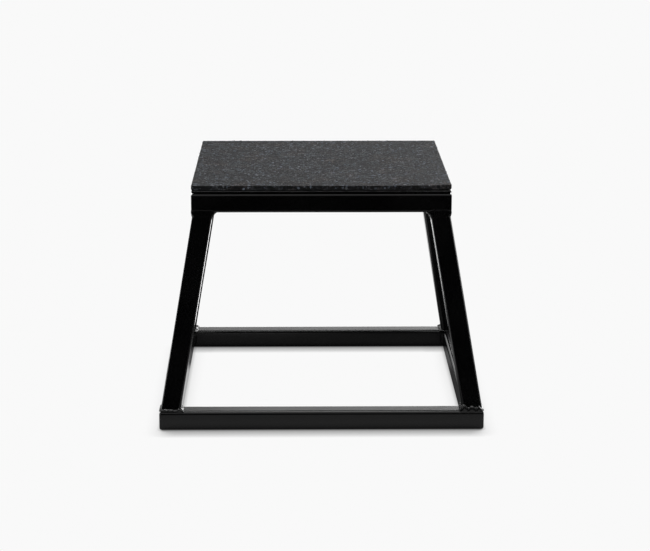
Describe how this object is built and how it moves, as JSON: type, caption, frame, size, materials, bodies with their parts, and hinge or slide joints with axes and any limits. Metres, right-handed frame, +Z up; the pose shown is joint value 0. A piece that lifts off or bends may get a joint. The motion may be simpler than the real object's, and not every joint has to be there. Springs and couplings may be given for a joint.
{
  "type": "plyo box",
  "caption": "Low plyometric jump box: a splayed frame of welded black square tube with a steel deck plate and a speckled rubber landing mat.",
  "frame": {"origin": "on the floor, under the middle of the box", "axes": "+Z up, +Y to the rear, +X to the right seen from the front"},
  "size_m": [0.408, 0.408, 0.305],
  "materials": {
    "coated_steel": "smooth semi-gloss black powder coat",
    "coated_weld": "rippled weld bead under the same black powder coat",
    "crumb_rubber": "matte pressed rubber crumb with blue and grey flecks",
    "contact_adhesive": "cured dark contact adhesive"
  },
  "bodies": {
    "root": {"base_front_rail": "coated_steel", "base_right_rail": "coated_steel", "base_rear_rail": "coated_steel", "base_left_rail": "coated_steel", "top_front_rail": "coated_steel", "top_right_rail": "coated_steel", "top_rear_rail": "coated_steel", "top_left_rail": "coated_steel", "leg_front_left": "coated_steel", "leg_front_right": "coated_steel", "leg_rear_right": "coated_steel", "leg_rear_left": "coated_steel", "deck_plate": "coated_steel", "mat_glue": "contact_adhesive", "rubber_mat": "crumb_rubber", "leg_foot_welds": "coated_weld", "leg_head_welds": "coated_weld", "base_corner_welds": "coated_weld", "top_corner_welds": "coated_weld", "deck_stitch_welds": "coated_weld"}
  },
  "joints": []
}
